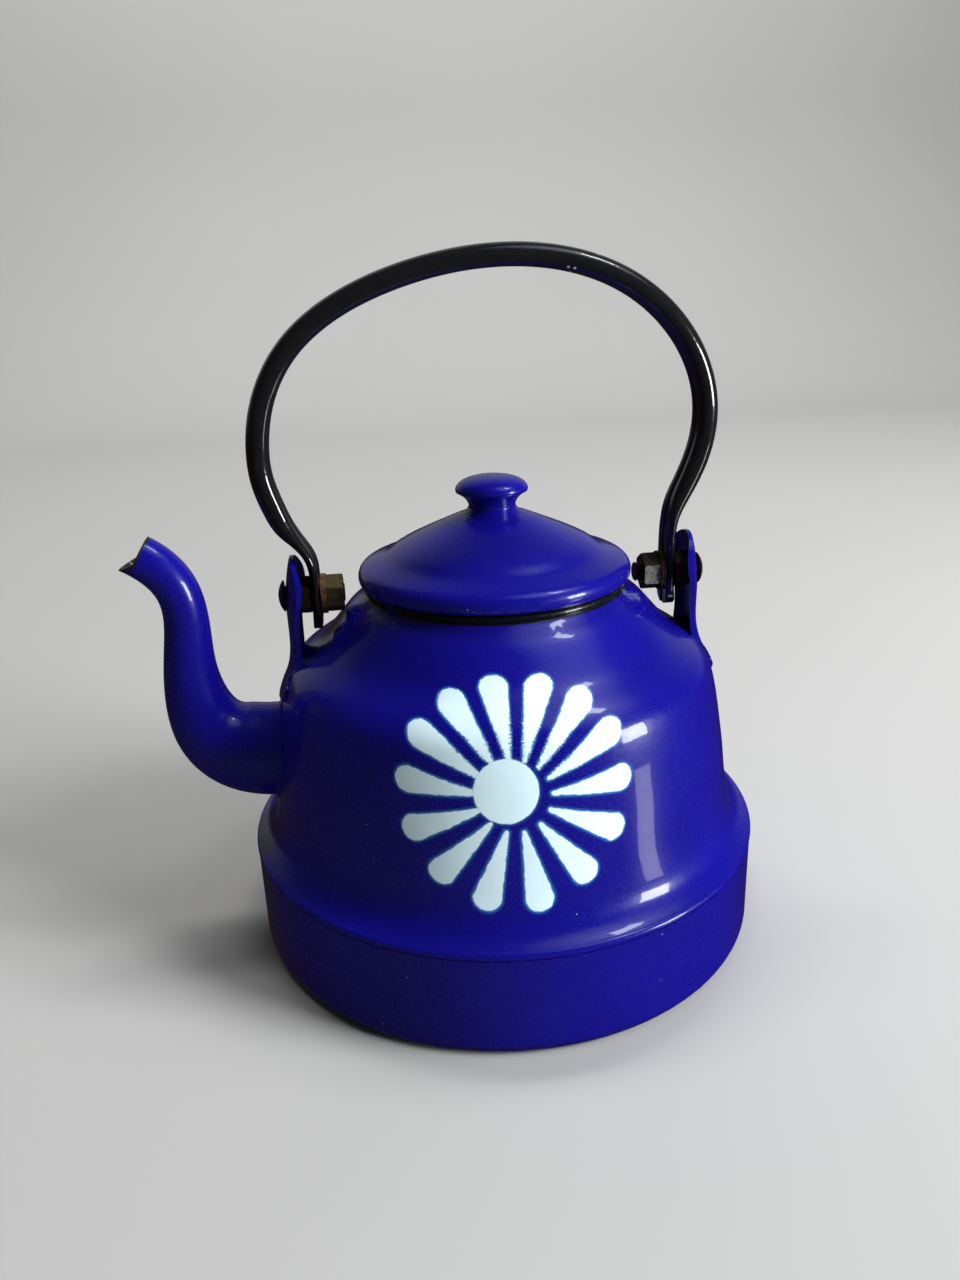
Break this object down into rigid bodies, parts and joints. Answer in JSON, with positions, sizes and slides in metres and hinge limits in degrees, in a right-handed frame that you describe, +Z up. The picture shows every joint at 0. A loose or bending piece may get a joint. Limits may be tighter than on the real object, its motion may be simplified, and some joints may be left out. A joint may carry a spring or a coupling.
{
  "type": "gooseneck kettle",
  "caption": "Enamelled stovetop kettle with a concave body, swan-neck spout, swinging strip handle, lift-off domed lid and a painted daisy.",
  "frame": {"origin": "centre of the flat base, on the kettle's axis", "axes": "+Z up along the axis of the body and lid, -X towards the spout, handle hinge along X"},
  "size_m": [0.19, 0.16, 0.2056],
  "materials": {
    "blue_enamel": "glossy vitreous enamel on pressed steel",
    "black_enamel": "glossy black enamel on rolled steel strip",
    "aged_steel": "dark aged steel",
    "aged_brass": "dull tarnished brass"
  },
  "bodies": {
    "body": {"base_pan": "blue_enamel", "bell_shell": "blue_enamel", "spout_left_shell": "blue_enamel", "spout_right_shell": "blue_enamel", "front_ear": "blue_enamel", "rear_ear": "blue_enamel", "front_bolt": "aged_steel", "rear_bolt": "aged_steel", "front_clamp_nut": "aged_steel", "rear_clamp_nut": "aged_steel", "front_washer": "aged_brass", "rear_washer": "aged_brass", "front_end_nut": "aged_brass", "rear_end_nut": "aged_brass"},
    "bail": {"bail_handle": "black_enamel"},
    "lid": {"lid_shell": "blue_enamel", "lid_collar": "black_enamel", "knob_neck": "blue_enamel", "knob_cap": "blue_enamel"}
  },
  "joints": [
    {"name": "bail_swing", "type": "hinge", "parent": "body", "child": "bail", "pos_m": [0, 0, 0.1093], "axis": [1, 0, 0], "range_deg": [-120, 120]},
    {"name": "lid_lift", "type": "slide", "parent": "body", "child": "lid", "axis": [0, 0, 1], "range_m": [0, 0.04]}
  ]
}
